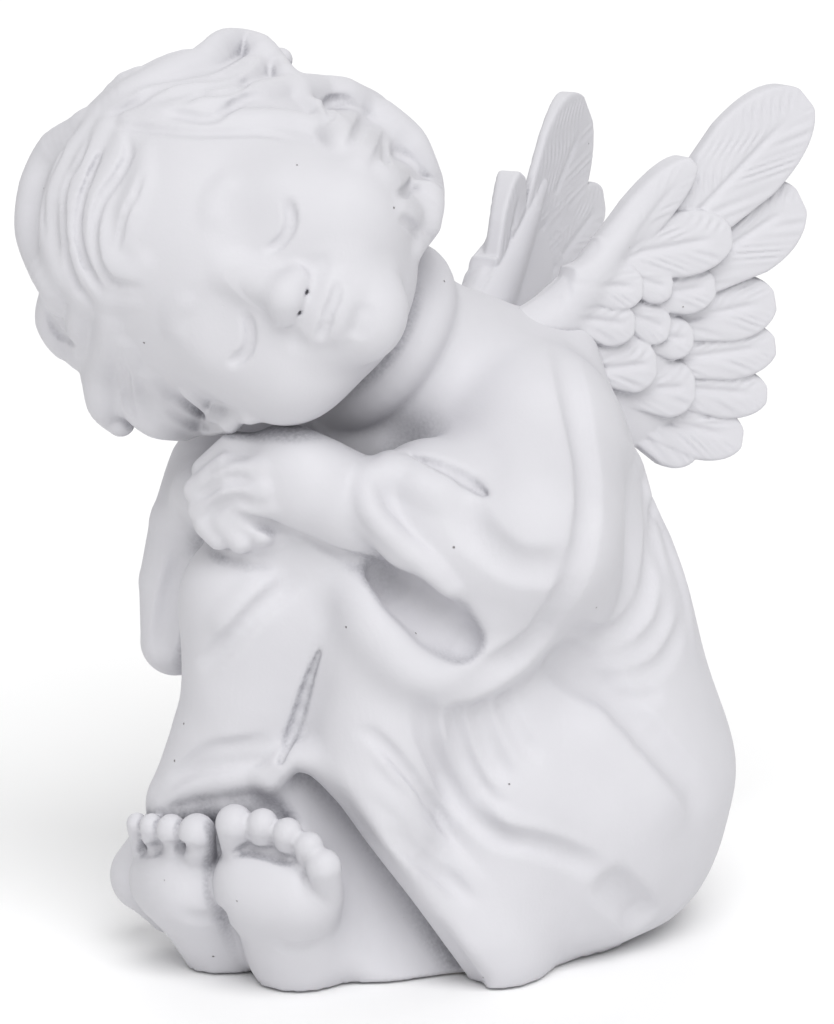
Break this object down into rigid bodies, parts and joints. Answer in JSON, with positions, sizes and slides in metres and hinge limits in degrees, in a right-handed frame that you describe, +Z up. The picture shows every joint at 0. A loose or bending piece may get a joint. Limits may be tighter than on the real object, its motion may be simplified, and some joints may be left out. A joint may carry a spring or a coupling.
{
  "type": "angel figurine",
  "caption": "Seated sleeping cherub with two feathered wings, cast in matte white resin, resting its cheek on hands laid over drawn-up knees.",
  "frame": {"origin": "middle of the felt pad's underside, on the surface that the figurine stands on", "axes": "+Z up, the figure looks along -Y with its left hand towards +X"},
  "size_m": [0.0722, 0.105, 0.1201],
  "materials": {
    "body_resin": "matte cast resin with fine pinholes",
    "head_resin": "matte cast resin with fine pinholes",
    "left_wing_resin": "matte cast resin with fine pinholes",
    "right_wing_resin": "matte cast resin with fine pinholes",
    "pin_steel": "drawn steel dowel",
    "plug_plastic": "moulded",
    "felt": "pressed felt"
  },
  "bodies": {
    "root": {"body_casting": "body_resin", "head_casting": "head_resin", "left_wing": "left_wing_resin", "right_wing": "right_wing_resin", "neck_pin": "pin_steel", "left_wing_pin": "pin_steel", "right_wing_pin": "pin_steel", "base_plug": "plug_plastic", "felt_pad": "felt"}
  },
  "joints": []
}
